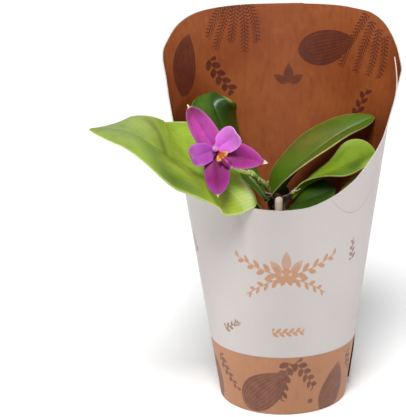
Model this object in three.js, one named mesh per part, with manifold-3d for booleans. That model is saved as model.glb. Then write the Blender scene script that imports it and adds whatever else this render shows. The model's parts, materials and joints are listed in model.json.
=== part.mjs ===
// A small moth orchid in a clear nursery pot, standing in a printed paperboard sleeve.
// Millimetres, +Z up. The origin is the middle of the pot's flat underside,
// and the low front of the sleeve faces -Y.
import * as THREE from 'three';
import { mergeVertices } from 'three/addons/utils/BufferGeometryUtils.js';
import Module from 'manifold-3d';

const wasm = await Module();
wasm.setup();

// Driving dimensions
const CLEARANCE = 0.35;           // gap left between pieces that touch
const BOARD = 0.8;                // sleeve board
const SLEEVE_FOOT_RADIUS = 45.9;  // outside, at the table
const SLEEVE_FLARE = 0.144;       // growth of the radius for each mm of height
const POT_HEIGHT = 110;
const POT_FOOT_RADIUS = 42;
const POT_RIM_RADIUS = 59.9;
const POT_WALL = 1.2;
const BARK_EDGE_HEIGHT = 101;
const BARK_CROWN_HEIGHT = 114;
const STEM_RADIUS = 5.6;
const STEM_TOP = 146;
const BLOOM_CENTRE = new THREE.Vector3(-42.3, -58, 194.2);

// The die-cut top edge of the sleeve: degrees round from the front, height.
// At the right the sheet's inner end and its outer end each have their own.
const RIM = [
  [0, 154.5], [15, 156], [25, 159.5], [35, 164.5], [45, 171], [55, 180], [65, 188], [75, 195],
  [81, 202], [86, 214], [90, 231], [96, 244], [106, 254.5], [118, 264], [134, 271], [155, 273.8],
  [180, 274],
];
const INNER_END_RIM = [
  [55, 180], [65, 188], [75, 196], [82, 204], [86, 214.5], [88, 221], [92, 227], [96.5, 232],
  [100.5, 237], [104, 241.8],
];
const OUTER_END_RIM = [
  [98, 234], [104, 241], [108, 246.3], [112, 251.5], [116, 257], [120, 262.3], [125, 267],
  [130, 269.8], [136, 271], [150, 273], [180, 274],
];
const SHEET_START = 104;          // inner end of the sheet, degrees round to the right
const SHEET_TURN = 366;           // the sheet goes once round and laps over its start
const CREASE_ANGLE = -100;

const { degToRad, clamp, lerp, smoothstep } = THREE.MathUtils;

// Small tools

// Smooth value at x through a list of [x, y] pairs
function through(pairs, x) {
  const last = pairs.length - 1;
  if (x <= pairs[0][0]) return pairs[0][1];
  if (x >= pairs[last][0]) return pairs[last][1];
  let i = 0;
  while (x > pairs[i + 1][0]) i += 1;
  const slope = (a, b) => (pairs[b][1] - pairs[a][1]) / (pairs[b][0] - pairs[a][0]);
  const span = pairs[i + 1][0] - pairs[i][0];
  const from = slope(Math.max(i - 1, 0), i + 1) * span;
  const to = slope(i, Math.min(i + 2, last)) * span;
  const t = (x - pairs[i][0]) / span;
  const rise = pairs[i + 1][1] - pairs[i][1];
  const bend = 3 * rise - 2 * from - to;
  return pairs[i][1] + t * (from + t * (bend + t * (from + to - 2 * rise)));
}

// Smooth value at t in 0..1 through evenly spaced values
function along(values, t) {
  return through(values.map((value, i) => [i / Math.max(values.length - 1, 1), value]), t);
}

// Repeatable random numbers
function seeded(seed) {
  let state = seed;
  return () => {
    state = (state * 1664525 + 1013904223) % 4294967296;
    return state / 4294967296;
  };
}

function vec(x, y, z) {
  return new THREE.Vector3(x, y, z);
}

function smoothCurve(points) {
  return new THREE.CatmullRomCurve3(points.map((p) => vec(...p)), false, 'catmullrom', 0.5);
}

// A closed geometry from a grid of points: rows[i][j], each row a closed ring, ends capped
function ringedSolid(rows) {
  const count = rows[0].length;
  const position = rows.flat().flatMap((p) => [p.x, p.y, p.z]);
  const index = [];
  for (let i = 0; i < rows.length - 1; i += 1) {
    for (let j = 0; j < count; j += 1) {
      const a = i * count + j;
      const b = i * count + (j + 1) % count;
      index.push(a, b, b + count, a, b + count, a + count);
    }
  }
  const cap = (row, turn) => {
    const middle = row.reduce((sum, p) => sum.add(p), vec(0, 0, 0)).divideScalar(count);
    const hub = position.length / 3;
    const first = rows.indexOf(row) * count;
    position.push(middle.x, middle.y, middle.z);
    for (let j = 0; j < count; j += 1) {
      const a = first + j;
      const b = first + (j + 1) % count;
      index.push(hub, turn ? b : a, turn ? a : b);
    }
  };
  cap(rows[0], true);
  cap(rows[rows.length - 1], false);
  const geometry = new THREE.BufferGeometry();
  geometry.setAttribute('position', new THREE.Float32BufferAttribute(position, 3));
  geometry.setIndex(index);
  return geometry;
}

// Joins and cuts
function solidOf(geometry) {
  const bare = geometry.clone();
  bare.deleteAttribute('normal');
  bare.deleteAttribute('uv');
  const merged = mergeVertices(bare, 1e-4);
  return new wasm.Manifold(new wasm.Mesh({
    numProp: 3,
    vertProperties: new Float32Array(merged.attributes.position.array),
    triVerts: new Uint32Array(merged.index.array),
  }));
}

function geometryOf(solid) {
  const mesh = solid.getMesh();
  const geometry = new THREE.BufferGeometry();
  geometry.setAttribute('position', new THREE.BufferAttribute(mesh.vertProperties, 3));
  geometry.setIndex(new THREE.BufferAttribute(mesh.triVerts, 1));
  return geometry;
}

// A round bar along a curve, with a radius that may change: radiusAt(t).
// Its ends may run on past the curve.
function bar(curve, radiusAt, steps, sides, runOn = 0) {
  const frames = curve.computeFrenetFrames(steps, false);
  const rows = [];
  for (let i = 0; i <= steps; i += 1) {
    const t = i / steps;
    const past = i === 0 ? -runOn : (i === steps) * runOn;
    const centre = curve.getPointAt(t).addScaledVector(frames.tangents[i], past);
    const row = [];
    for (let j = 0; j < sides; j += 1) {
      const a = j / sides * Math.PI * 2;
      const out = frames.normals[i].clone().multiplyScalar(Math.cos(a))
        .addScaledVector(frames.binormals[i], Math.sin(a));
      row.push(centre.clone().addScaledVector(out, radiusAt(t)));
    }
    rows.push(row);
  }
  return ringedSolid(rows);
}

// A leaf, sepal or petal: a thin waved blade along a spine.
// roll turns it about the spine, fold lifts both halves, arch domes each half,
// wave ripples the margins, and tip is half the width of the blunt end.
// Lists run evenly from the base to the tip.
function blade(shape) {
  const {
    spine, up = vec(0, 0, 1), halfWidth, widest = 0.5, blunt = 0.75, base = 5, sheath = 0, neck = 0.16,
    roll = [0], fold = [0], arch = 0.06, wave = null, thick = [1.8, 0.8],
    stations = 24, across = 8, point = 0, tip = 0.5,
  } = shape;
  const curve = smoothCurve(spine);
  const peak = Math.log(0.5) / Math.log(widest);
  const middle = [];
  for (let i = 0; i <= stations; i += 1) {
    const t = lerp(0, 0.992, i / stations);
    const centre = curve.getPointAt(t);
    const ahead = curve.getTangentAt(t);
    const rise = up.clone().addScaledVector(ahead, -up.dot(ahead)).normalize();
    const aside = ahead.clone().cross(rise);
    const turn = degToRad(along(roll, t));
    const side = aside.clone().multiplyScalar(Math.cos(turn)).addScaledVector(rise, Math.sin(turn));
    const over = rise.clone().multiplyScalar(Math.cos(turn)).addScaledVector(aside, -Math.sin(turn));
    const lift = degToRad(along(fold, t));
    const body = clamp(t / (1 - point), 0, 1);
    const full = Math.sin(Math.PI * body ** peak) ** blunt * smoothstep(body, sheath, neck);
    const width = Math.max(base * (1 - t) ** 2 + halfWidth * full, tip);
    const row = [];
    for (let j = 0; j <= across; j += 1) {
      const v = lerp(-1, 1, j / across);
      const share = Math.abs(v);
      let height = arch * width * 4 * share * (1 - share);
      if (wave) {
        const phase = v > 0 ? wave.phase[0] : wave.phase[1];
        height += wave.height * share ** 2 * full * Math.sin(2 * Math.PI * (wave.count * t + phase));
      }
      row.push(centre.clone()
        .addScaledVector(side, width * v * Math.cos(lift))
        .addScaledVector(over, width * share * Math.sin(lift) + height));
    }
    middle.push(row);
  }
  return thickened(middle, (i, j) => {
    const share = Math.abs(lerp(-1, 1, j / across));
    return lerp(thick[0], thick[1], share ** 1.5) * lerp(1, 0.75, (i / stations) ** 3);
  });
}

// A sheet of points made a closed solid, half its thickness to each side
function thickened(middle, thicknessAt) {
  const rows = middle.length;
  const columns = middle[0].length;
  const position = [];
  const place = (face) => {
    for (let i = 0; i < rows; i += 1) {
      for (let j = 0; j < columns; j += 1) {
        const before = middle[Math.max(i - 1, 0)][j];
        const after = middle[Math.min(i + 1, rows - 1)][j];
        const left = middle[i][Math.max(j - 1, 0)];
        const right = middle[i][Math.min(j + 1, columns - 1)];
        const normal = right.clone().sub(left).cross(after.clone().sub(before)).normalize();
        const p = middle[i][j].clone().addScaledVector(normal, face * thicknessAt(i, j) / 2);
        position.push(p.x, p.y, p.z);
      }
    }
  };
  place(1);
  place(-1);
  const back = rows * columns;
  const index = [];
  for (let i = 0; i < rows - 1; i += 1) {
    for (let j = 0; j < columns - 1; j += 1) {
      const a = i * columns + j;
      const [b, c, d] = [a + 1, a + columns + 1, a + columns];
      index.push(a, b, c, a, c, d);
      index.push(back + a, back + c, back + b, back + a, back + d, back + c);
    }
  }
  const edge = [];
  for (let j = 0; j < columns; j += 1) edge.push(j);
  for (let i = 1; i < rows; i += 1) edge.push(i * columns + columns - 1);
  for (let j = columns - 2; j >= 0; j -= 1) edge.push((rows - 1) * columns + j);
  for (let i = rows - 2; i > 0; i -= 1) edge.push(i * columns);
  edge.forEach((a, k) => {
    const b = edge[(k + 1) % edge.length];
    index.push(a, back + a, b, b, back + a, back + b);
  });
  const geometry = new THREE.BufferGeometry();
  geometry.setAttribute('position', new THREE.Float32BufferAttribute(position, 3));
  geometry.setIndex(index);
  return geometry;
}

// The sleeve: one sheet wrapped once round as a cone, open below, low in front,
// with its outer end lapping over its inner end at the right. The lap is glued in the middle
// and stands off a little at its foot and its top corner, where both ends flare.
const sleeveRadius = (z) => SLEEVE_FOOT_RADIUS + SLEEVE_FLARE * z;

function rimHeight(angle, travelled) {
  if (travelled < 45) return through(INNER_END_RIM, angle);
  if (SHEET_TURN - travelled < 70) return through(OUTER_END_RIM, angle);
  return through(RIM, Math.abs(angle));
}

function sleeve() {
  const step = 3;
  const columns = SHEET_TURN / step;
  const levels = [0, 0.12, 0.21, 0.5, 0.86, 1];
  const middle = [];
  for (let i = 0; i <= columns; i += 1) {
    const travelled = i * step;
    const angle = SHEET_START - travelled;
    const wrapped = ((angle + 540) % 360) - 180;
    const toLap = SHEET_TURN - travelled;
    const lapping = smoothstep(36 - toLap, 0, 36 - 14);
    const foot = 6 * smoothstep(12 - toLap, 0, 12);
    const rim = rimHeight(wrapped, travelled);
    const a = degToRad(angle);
    middle.push(levels.map((level) => {
      const z = lerp(foot, rim, level);
      const high = z / RIM[RIM.length - 1][1];
      const loose = 2.3 * (1 - smoothstep(z, 28, 56)) + 2.7 * smoothstep(z, 206, 236);
      const beyond = Math.max(Math.abs(wrapped - 92) - 14, 0);
      const flare = 2.7 * smoothstep(z, 196, 222) * Math.exp(-((beyond / 16) ** 2));
      const crease = 2.2 * high ** 2 * Math.exp(-(((wrapped - CREASE_ANGLE) / 8) ** 2));
      const radius = sleeveRadius(z) - BOARD / 2 + lapping * (1.25 + loose) + flare + crease;
      return vec(Math.sin(a) * radius, -Math.cos(a) * radius, z);
    }));
  }
  return thickened(middle, () => BOARD);
}

// The nursery pot: clear plastic, tapered, with a turned-out rim and drainage slots
function nurseryPot() {
  const shoulder = POT_HEIGHT - 6;
  const shoulderRadius = POT_RIM_RADIUS - 2.6;
  const profile = [
    [0, 0], [POT_FOOT_RADIUS - 1, 0], [POT_FOOT_RADIUS, 1], [shoulderRadius, shoulder],
    [POT_RIM_RADIUS, shoulder + 0.8], [POT_RIM_RADIUS, POT_HEIGHT],
    [POT_RIM_RADIUS - POT_WALL, POT_HEIGHT], [shoulderRadius - POT_WALL, shoulder - 0.8],
    [POT_FOOT_RADIUS - POT_WALL, POT_WALL + 0.6], [0, POT_WALL + 0.6],
  ];
  const body = new THREE.LatheGeometry(profile.map(([x, y]) => new THREE.Vector2(x, y)), 48);
  body.rotateX(Math.PI / 2);
  let pot = solidOf(body);
  const slots = 8;
  for (let i = 0; i < slots; i += 1) {
    const wide = i % 2 === 0;
    const slot = new THREE.BoxGeometry(wide ? 16 : 12, wide ? 5 : 4, wide ? 12 : 6);
    slot.translate(wide ? POT_FOOT_RADIUS - 6 : POT_FOOT_RADIUS / 2, 0, 0);
    slot.rotateZ(i / slots * Math.PI * 2);
    pot = pot.subtract(solidOf(slot));
  }
  return geometryOf(pot);
}

// The short stem: a stub ringed by the dry sheaths of old leaves
const stemAxis = (z) => vec(-0.8, -0.5, z);

function stem(grown = 0) {
  const sides = 14;
  const rings = 20;
  const foot = 88;
  const rows = [];
  for (let i = 0; i <= rings; i += 1) {
    const z = lerp(foot, STEM_TOP, i / rings);
    const past = i === 0 ? -grown : (i === rings) * grown;
    const row = [];
    for (let j = 0; j < sides; j += 1) {
      const a = j / sides * Math.PI * 2;
      const sheath = ((z - foot) / 7 + a / Math.PI) % 1;
      const torn = 0.35 * Math.sin(5 * a + z);
      const top = 1 - 0.45 * smoothstep(z, STEM_TOP - 6, STEM_TOP);
      const radius = (STEM_RADIUS - 0.9 + 1.5 * sheath + torn) * top + grown;
      row.push(stemAxis(z + past).add(vec(Math.cos(a) * radius, Math.sin(a) * radius, 0)));
    }
    rows.push(row);
  }
  return ringedSolid(rows);
}

// Aerial roots: thick, pale, arching from the stem down into the bark
const ROOTS = [
  {
    path: [
      [-1.3, -8.6, 142], [-1.4, -12.6, 147.2], [-1.6, -16, 142], [-1.4, -17, 130], [1, -20, 112],
      [4, -22, 98],
    ],
    radius: 2.7,
  },
  { path: [[8, 4, 127], [13, 7, 129], [20, 11, 124], [27, 16, 112], [30, 19, 98]], radius: 2.2 },
  { path: [[-8.6, 4, 131], [-14, 8, 132], [-22, 12, 124], [-30, 15, 110], [-34, 17, 98]], radius: 2.4 },
  { path: [[1.2, 9.2, 129], [3, 15, 130], [6, 24, 124], [10, 33, 112], [11, 38, 99]], radius: 2.3 },
];

function root({ path, radius }, grown = 0) {
  const tip = (t) => 1 - 0.5 * smoothstep(t, 0.94, 1) - 0.25 * smoothstep(0.06 - t, 0, 0.06);
  return bar(smoothCurve(path), (t) => radius * tip(t) + grown, 12, 8, grown);
}

// The bark the plant grows in: a filled cone with chips standing out of its top
function pottingBark() {
  const random = seeded(11);
  const inner = (z) => lerp(POT_FOOT_RADIUS, POT_RIM_RADIUS - 2.6, z / (POT_HEIGHT - 6)) - POT_WALL - 1;
  const profile = [
    [0, POT_WALL + 1.4], [inner(0) - 0.6, POT_WALL + 1.4], [inner(BARK_EDGE_HEIGHT), BARK_EDGE_HEIGHT - 3],
    [inner(BARK_EDGE_HEIGHT) * 0.7, BARK_EDGE_HEIGHT + 2], [14, BARK_CROWN_HEIGHT - 4],
    [0, BARK_CROWN_HEIGHT - 2],
  ];
  const body = new THREE.LatheGeometry(profile.map(([x, y]) => new THREE.Vector2(x, y)), 36);
  body.rotateX(Math.PI / 2);
  let bark = solidOf(body);
  const chips = 44;
  const golden = Math.PI * (3 - Math.sqrt(5));
  for (let i = 0; i < chips; i += 1) {
    const out = (inner(BARK_EDGE_HEIGHT) - 9) * Math.sqrt((i + 0.5) / chips);
    const a = i * golden + random() * 0.4;
    const length = lerp(13, 22, random());
    const chip = new THREE.CylinderGeometry(length * 0.36, length * 0.46, lerp(3.5, 6, random()), 5);
    chip.scale(1.25, 1, lerp(0.6, 0.85, random()));
    chip.rotateX(Math.PI / 2 + lerp(-0.5, 0.5, random()));
    chip.rotateZ(random() * Math.PI * 2);
    chip.rotateY(lerp(-0.35, 0.35, random()));
    const mound = lerp(BARK_CROWN_HEIGHT, BARK_EDGE_HEIGHT, (out / inner(BARK_EDGE_HEIGHT)) ** 1.2);
    chip.translate(Math.cos(a) * out, Math.sin(a) * out, mound - 1 + random() * 1.6);
    bark = bark.add(solidOf(chip));
  }
  bark = bark.subtract(solidOf(stem(CLEARANCE * 1.5)));
  ROOTS.forEach((shape) => {
    bark = bark.subtract(solidOf(root(shape, CLEARANCE * 1.2)));
  });
  const largest = bark.decompose().reduce((a, b) => (a.volume() > b.volume() ? a : b));
  return geometryOf(largest);
}

// The leaves, base to tip: two ranks, left and right of the stem
const LEAVES = {
  leaf_left_front: {
    spine: [
      [-11, -10, 134.3], [-32.5, -34.4, 172.8], [-54.1, -47, 176.6], [-73, -65, 192], [-99, -73, 210],
      [-124, -68, 211],
    ],
    halfWidth: 41.5, widest: 0.45, blunt: 0.72, base: 2.7, sheath: 0.16, neck: 0.3, tip: 1.9,
    roll: [3.1, 35.3, 30.6, -4], fold: [0, 5.7, -2], wave: { height: 1.6, count: 3.3, phase: [0.64, 0.76] },
  },
  leaf_left_back: {
    spine: [[-10, 3.5, 143], [-23.6, 13.6, 159.2], [-34.6, 20.6, 172.9], [-47.2, 28, 205], [-48.9, 40, 215.9]],
    halfWidth: 27.4, widest: 0.64, blunt: 1, base: 4, neck: 0.22, roll: [0, -3, -4.7], fold: [14, -3, 8],
    wave: { height: 0.8, count: 3, phase: [0.4, 0.1] },
  },
  leaf_right_back: {
    spine: [[-3.4, 10, 132.7], [4.5, 11.4, 154.8], [21.9, 17, 171.3], [45, 24, 187.4], [68, 30, 197.6]],
    halfWidth: 26.1, widest: 0.53, blunt: 0.7, base: 13.3, neck: 0.1, roll: [8.9, 5.8, -1.5, -14.6],
    fold: [29.3, 14.9, 14.1, 8],
    wave: { height: 0.5, count: 2.5, phase: [0.3, 0] }, stations: 20, across: 6,
  },
  leaf_right_twisted: {
    spine: [[8, -6, 147], [19, -8.5, 158], [34, -13, 166], [49, -18, 175], [65, -25, 183]],
    halfWidth: 18.3, widest: 0.7, blunt: 0.7, base: 4, roll: [15, -3, -27, -47], fold: [26, 18, 12],
    wave: { height: 0.7, count: 2.5, phase: [0, 0.5] }, stations: 20, across: 6,
  },
  leaf_right_low: {
    spine: [[6.5, -9.5, 140], [15, -14, 145.5], [26, -17, 151], [38, -20, 157]],
    halfWidth: 15, widest: 0.6, blunt: 0.65, base: 4, roll: [-15, -27, -36], fold: [16, 12, 4],
    stations: 18, across: 6,
  },
  leaf_right_lowest: {
    spine: [[9, -2, 131], [23, -14.5, 135], [38, -27.5, 151], [55, -32, 170]],
    halfWidth: 13.5, widest: 0.5, base: 4, roll: [-11, -9, -15], fold: [14, 4, 9],
    stations: 18, across: 6,
  },
};

// The flower spike: a short zigzag stalk with a bract at each turn
function flowerSpike() {
  const stalk = smoothCurve([
    [-8.5, -4, 152], [-11.5, -11, 159], [-15, -18, 162.5], [-17.5, -24, 168], [-20.5, -30, 170],
  ]);
  let spike = solidOf(bar(stalk, (t) => lerp(1.9, 1.3, t), 10, 7));
  const bracts = [[0.3, 1], [0.55, -1], [0.78, 1]];
  bracts.forEach(([t, side]) => {
    const foot = stalk.getPointAt(t);
    const ahead = stalk.getTangentAt(t);
    const aside = ahead.clone().cross(vec(0, 0, 1)).normalize().multiplyScalar(side);
    const tip = foot.clone().addScaledVector(ahead, 6.5).addScaledVector(aside, 3.2);
    const waist = foot.clone().addScaledVector(ahead, 3).addScaledVector(aside, 2.3);
    const bract = blade({
      spine: [foot.toArray(), waist.toArray(), tip.toArray()], up: aside, halfWidth: 1.9,
      base: 1.2, neck: 0.05, thick: [1, 0.7], stations: 6, across: 4,
    });
    spike = spike.add(solidOf(bract));
  });
  return geometryOf(spike);
}

// The bloom faces out over the low front of the sleeve, turned a little to the left.
// Its parts are placed by directions in its own plane: degrees up from the right.
const facing = vec(0.03, -0.965, 0.262).normalize();
const bloomRight = vec(0, 0, 1).cross(facing).normalize();
const bloomUp = facing.clone().cross(bloomRight).normalize();

function inBloom(angle, out, forward) {
  const a = degToRad(angle);
  return BLOOM_CENTRE.clone()
    .addScaledVector(bloomRight, Math.cos(a) * out)
    .addScaledVector(bloomUp, Math.sin(a) * out)
    .addScaledVector(facing, forward);
}

// A sepal or petal: it leaves the centre at startForward and bends forward by lean degrees
function tepal({ angle, length, lean, startForward, halfWidth, widest, blunt, fold, point, arch = 0.05 }) {
  const spine = [0, 0.25, 0.5, 0.75, 1].map((t) => {
    const bend = degToRad(lean * lerp(0.45, 1.25, t));
    const reach = length * t;
    return inBloom(angle, 2.6 + reach * Math.cos(bend), startForward + reach * Math.sin(bend)).toArray();
  });
  return blade({
    spine, up: facing, halfWidth, widest, blunt, base: 1.7, neck: 0.17, fold, point, arch,
    thick: [1.1, 0.7], stations: 14, across: 6,
  });
}

const SEPAL = { startForward: 0, widest: 0.5, blunt: 0.75, fold: [10, 8, 14], point: 0.07 };
const PETAL = { length: 25.5, lean: 44, startForward: 1.9, widest: 0.5, blunt: 0.5, fold: [12, 4, 0] };
const TEPALS = {
  sepal_dorsal: {
    ...SEPAL, angle: 121.3, length: 32.6, lean: 6, halfWidth: 8, widest: 0.55, blunt: 0.7, fold: [10, 6, 18],
  },
  sepal_lateral_right: {
    ...SEPAL, angle: -17, length: 38, lean: 25, startForward: -0.8, halfWidth: 8.2, widest: 0.48,
  },
  sepal_lateral_left: { ...SEPAL, angle: -87.3, length: 39.5, lean: 34, halfWidth: 8.2 },
  petal_right: { ...PETAL, angle: 34, halfWidth: 7.7 },
  petal_left: { ...PETAL, angle: 199, halfWidth: 6.8 },
};

// The ovary and its stalk, one green twisted rod behind the bloom
function pedicel() {
  const path = [
    [-20.7, -31.4, 170.9], [-24, -38, 173.8], [-30, -46, 178.5], [-37.5, -51.5, 187],
    inBloom(-30, 0.8, -4).toArray(), inBloom(0, 0, -0.1).toArray(),
  ];
  return bar(smoothCurve(path), (t) => lerp(1.35, 1.8, t), 14, 7);
}

// The column: a short rounded hood standing out of the centre
const LIP_ANGLE = -50;

function column() {
  const spot = (angle, out, forward) => inBloom(angle, out, forward).toArray();
  const path = smoothCurve([
    spot(LIP_ANGLE + 180, 0, 0.5), spot(LIP_ANGLE + 180, 0.9, 4), spot(LIP_ANGLE + 180, 0.5, 8),
    spot(LIP_ANGLE, 0.8, 10.4),
  ]);
  const radius = (t) => through([[0, 1.5], [0.35, 1.9], [0.75, 2.5], [0.93, 2.2], [1, 1.2]], t);
  return bar(path, radius, 10, 10);
}

// The lip: a narrow keeled blade below the column, with two upright ears and a raised callus
function lip() {
  const at = (out, forward) => inBloom(LIP_ANGLE, out, forward).toArray();
  const keel = blade({
    spine: [at(3.4, 2.6), at(5.2, 6.4), at(7.4, 10), at(11.4, 12.6), at(16.4, 12.6)], up: facing,
    halfWidth: 3.1, widest: 0.72, blunt: 0.7, base: 1.6, neck: 0.2, fold: [22, -12, -24], point: 0.06,
    thick: [1.7, 0.8], stations: 14, across: 6,
  });
  let whole = solidOf(keel);
  const across = (side) => LIP_ANGLE + side * 90;
  [-1, 1].forEach((side) => {
    const off = (out, forward, aside) => inBloom(LIP_ANGLE, out, forward)
      .add(inBloom(across(side), aside, 0).sub(BLOOM_CENTRE)).toArray();
    const ear = blade({
      spine: [off(5.2, 6.2, 0.4), off(5.4, 7.6, 2.6), off(5.6, 10.2, 3.6), off(5.4, 12.6, 3.2)],
      up: inBloom(LIP_ANGLE, 1, 0).sub(BLOOM_CENTRE), halfWidth: 2.2, widest: 0.62, blunt: 0.55,
      base: 1.5, neck: 0.1, thick: [1.1, 0.8], stations: 8, across: 4,
    });
    whole = whole.add(solidOf(ear));
  });
  const callus = new THREE.SphereGeometry(1.5, 10, 8);
  callus.scale(1, 1, 1.2);
  callus.translate(...at(6.6, 9.6));
  whole = whole.add(solidOf(callus));
  return geometryOf(whole);
}

// Put together
const orchid = new THREE.Group();

function piece(name, geometry, colour, roughness = 0.6, metalness = 0) {
  const material = new THREE.MeshStandardMaterial({ color: colour, roughness, metalness });
  const mesh = new THREE.Mesh(geometry, material);
  mesh.name = name;
  orchid.add(mesh);
}

piece('sleeve', sleeve(), '#c9bdb6', 0.7);
piece('nursery_pot', nurseryPot(), '#d9dfde', 0.25);
piece('potting_bark', pottingBark(), '#5a3a26', 0.95);
piece('stem', stem(), '#7a6045', 0.85);
ROOTS.forEach((shape, i) => piece(`aerial_root_${i + 1}`, root(shape), '#b9b59c', 0.75));
Object.entries(LEAVES).forEach(([name, shape]) => piece(name, blade(shape), '#7f9e3a', 0.4));
piece('flower_spike', flowerSpike(), '#8fa552', 0.5);
piece('pedicel', pedicel(), '#9db45a', 0.5);
Object.entries(TEPALS).forEach(([name, shape]) => {
  piece(name, tepal(shape), name.startsWith('petal') ? '#c154b8' : '#a5268f', 0.5);
});
piece('column', column(), '#dd8fd0', 0.45);
piece('lip', lip(), '#c8691f', 0.5);

export default orchid;
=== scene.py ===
import json
import math
import bpy
import numpy as np
from mathutils import Matrix, Vector

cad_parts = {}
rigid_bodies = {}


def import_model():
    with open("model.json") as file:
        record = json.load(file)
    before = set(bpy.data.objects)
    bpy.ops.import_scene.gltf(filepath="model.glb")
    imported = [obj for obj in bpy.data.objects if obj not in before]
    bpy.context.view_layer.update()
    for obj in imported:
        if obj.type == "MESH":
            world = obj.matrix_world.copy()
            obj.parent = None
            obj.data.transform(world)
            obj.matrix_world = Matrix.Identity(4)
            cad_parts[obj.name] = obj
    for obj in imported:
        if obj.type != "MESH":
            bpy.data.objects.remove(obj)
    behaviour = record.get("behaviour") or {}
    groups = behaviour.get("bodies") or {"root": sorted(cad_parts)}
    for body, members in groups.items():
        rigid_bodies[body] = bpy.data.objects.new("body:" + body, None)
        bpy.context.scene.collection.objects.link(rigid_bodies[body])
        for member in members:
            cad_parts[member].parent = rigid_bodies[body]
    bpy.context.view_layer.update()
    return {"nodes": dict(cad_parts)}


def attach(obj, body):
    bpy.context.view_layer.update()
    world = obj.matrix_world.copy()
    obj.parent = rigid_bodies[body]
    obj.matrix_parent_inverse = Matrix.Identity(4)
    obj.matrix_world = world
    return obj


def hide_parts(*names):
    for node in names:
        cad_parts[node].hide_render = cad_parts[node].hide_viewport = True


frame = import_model()

# Camera: a long lens a little above the sleeve's top edge, looking down over its low front.
# It is turned a few degrees to the left and leans a degree and a half, as the photograph was taken.
camera_place = Vector((0.0, -0.850, 0.370))
look_left, look_down, lean = math.radians(3.74), math.radians(15.21), math.radians(-1.55)
forward = Vector((
    -math.sin(look_left) * math.cos(look_down),
    math.cos(look_left) * math.cos(look_down),
    -math.sin(look_down),
))
level = Vector((math.cos(look_left), math.sin(look_left), 0.0))
above = level.cross(forward)
sideways = level * math.cos(lean) + above * math.sin(lean)
upward = above * math.cos(lean) - level * math.sin(lean)
camera = bpy.data.objects.new("camera", bpy.data.cameras.new("camera"))
bpy.context.scene.collection.objects.link(camera)
turn = Matrix((sideways, upward, -forward)).transposed()
camera.matrix_world = Matrix.Translation(camera_place) @ turn.to_4x4()
camera.data.lens = 106.7
camera.data.sensor_width = 36.0
camera.data.clip_end = 60.0
bpy.context.scene.camera = camera

# Studio: a white floor under a broad soft light from the front and above, with two white lamps
# low at the sides that light the outer faces and leave the inside of the sleeve deeper.
bpy.context.scene.view_settings.view_transform = "Standard"
room = bpy.data.worlds.new("room")
bpy.context.scene.world = room
room.use_nodes = True
backdrop = room.node_tree.nodes["Background"].inputs
backdrop["Color"].default_value = (1.0, 1.0, 1.0, 1.0)
backdrop["Strength"].default_value = 0.32
FLOOR_REACH = 40
floor_corners = [(x * FLOOR_REACH, y * FLOOR_REACH, 0) for x, y in ((-1, -1), (1, -1), (1, 1), (-1, 1))]
floor_mesh = bpy.data.meshes.new("floor")
floor_mesh.from_pydata(floor_corners, [], [(0, 1, 2, 3)])
floor = bpy.data.objects.new("floor", floor_mesh)
floor.location.z = -0.0006
bpy.context.scene.collection.objects.link(floor)
floor_paint = bpy.data.materials.new("floor_paint")
floor_paint.use_nodes = True
floor_surface = floor_paint.node_tree.nodes["Principled BSDF"].inputs
floor_surface["Base Color"].default_value = (0.95, 0.95, 0.95, 1.0)
floor_surface["Roughness"].default_value = 0.9
floor_mesh.materials.append(floor_paint)


LIT_SPOT = Vector((0, 0, 0.16))


def light(kind, name, place, power, size):
    """A soft lamp that looks at the front of the sleeve's mouth; a sun's size is in degrees."""
    source = bpy.data.lights.new(name, kind)
    source.energy = power
    if kind == "SUN":
        source.angle = math.radians(size)
    else:
        source.shape = "DISK"
        source.size = size
    holder = bpy.data.objects.new(name, source)
    holder.location = place
    holder.rotation_euler = (LIT_SPOT - Vector(place)).to_track_quat("-Z", "Y").to_euler()
    bpy.context.scene.collection.objects.link(holder)


light("SUN", "sky_front", (-0.12, -1.0, 1.45), 3.15, 24)
light("AREA", "lamp_left", (-1.15, -0.10, 0.14), 6.5, 0.4)
light("AREA", "lamp_right", (1.15, -0.20, 0.14), 5.5, 0.4)

# Sleeve: one sheet of paperboard wrapped once round as a cone, open at the foot, its die-cut top
# edge low in front and high behind. Its outer end laps over its inner end at the right.
# White board printed outside with a terracotta foot, and printed red-brown all over inside.
MM = 0.001
BOARD = 0.8
SHEET_START, SHEET_TURN = 104.0, 366.0
SHEET_TALL = 280.0
CREASE_ANGLE = -100.0
BAND_TOP = 45.0
FOOT_RADIUS, WIDENS = 45.9, 0.144
# Heights of the top edge, as (degrees round from the front, millimetres), and of the sheet's two
# ends where they part from it.
rim_heights = [
    (0, 154.5), (15, 156), (25, 159.5), (35, 164.5), (45, 171), (55, 180), (65, 188), (75, 195),
    (81, 202), (86, 214), (90, 231), (96, 244), (106, 254.5), (118, 264), (134, 271), (155, 273.8),
    (180, 274),
]
inner_end_heights = [
    (55, 180), (65, 188), (75, 196), (82, 204), (86, 214.5), (88, 221), (92, 227), (96.5, 232),
    (100.5, 237), (104, 241.8),
]
outer_end_heights = [
    (98, 234), (104, 241), (108, 246.3), (112, 251.5), (116, 257), (120, 262.3), (125, 267),
    (130, 269.8), (136, 271), (150, 273), (180, 274),
]


def through(pairs, x):
    """A smooth value at x through (place, value) pairs."""
    last = len(pairs) - 1
    if x <= pairs[0][0]:
        return pairs[0][1]
    if x >= pairs[last][0]:
        return pairs[last][1]
    i = 0
    while x > pairs[i + 1][0]:
        i += 1

    def slope(a, b):
        return (pairs[b][1] - pairs[a][1]) / (pairs[b][0] - pairs[a][0])

    span = pairs[i + 1][0] - pairs[i][0]
    start, end = slope(max(i - 1, 0), i + 1) * span, slope(i, min(i + 2, last)) * span
    t = (x - pairs[i][0]) / span
    rise = pairs[i + 1][1] - pairs[i][1]
    return pairs[i][1] + t * (start + t * (3 * rise - 2 * start - end + t * (start + end - 2 * rise)))


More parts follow.
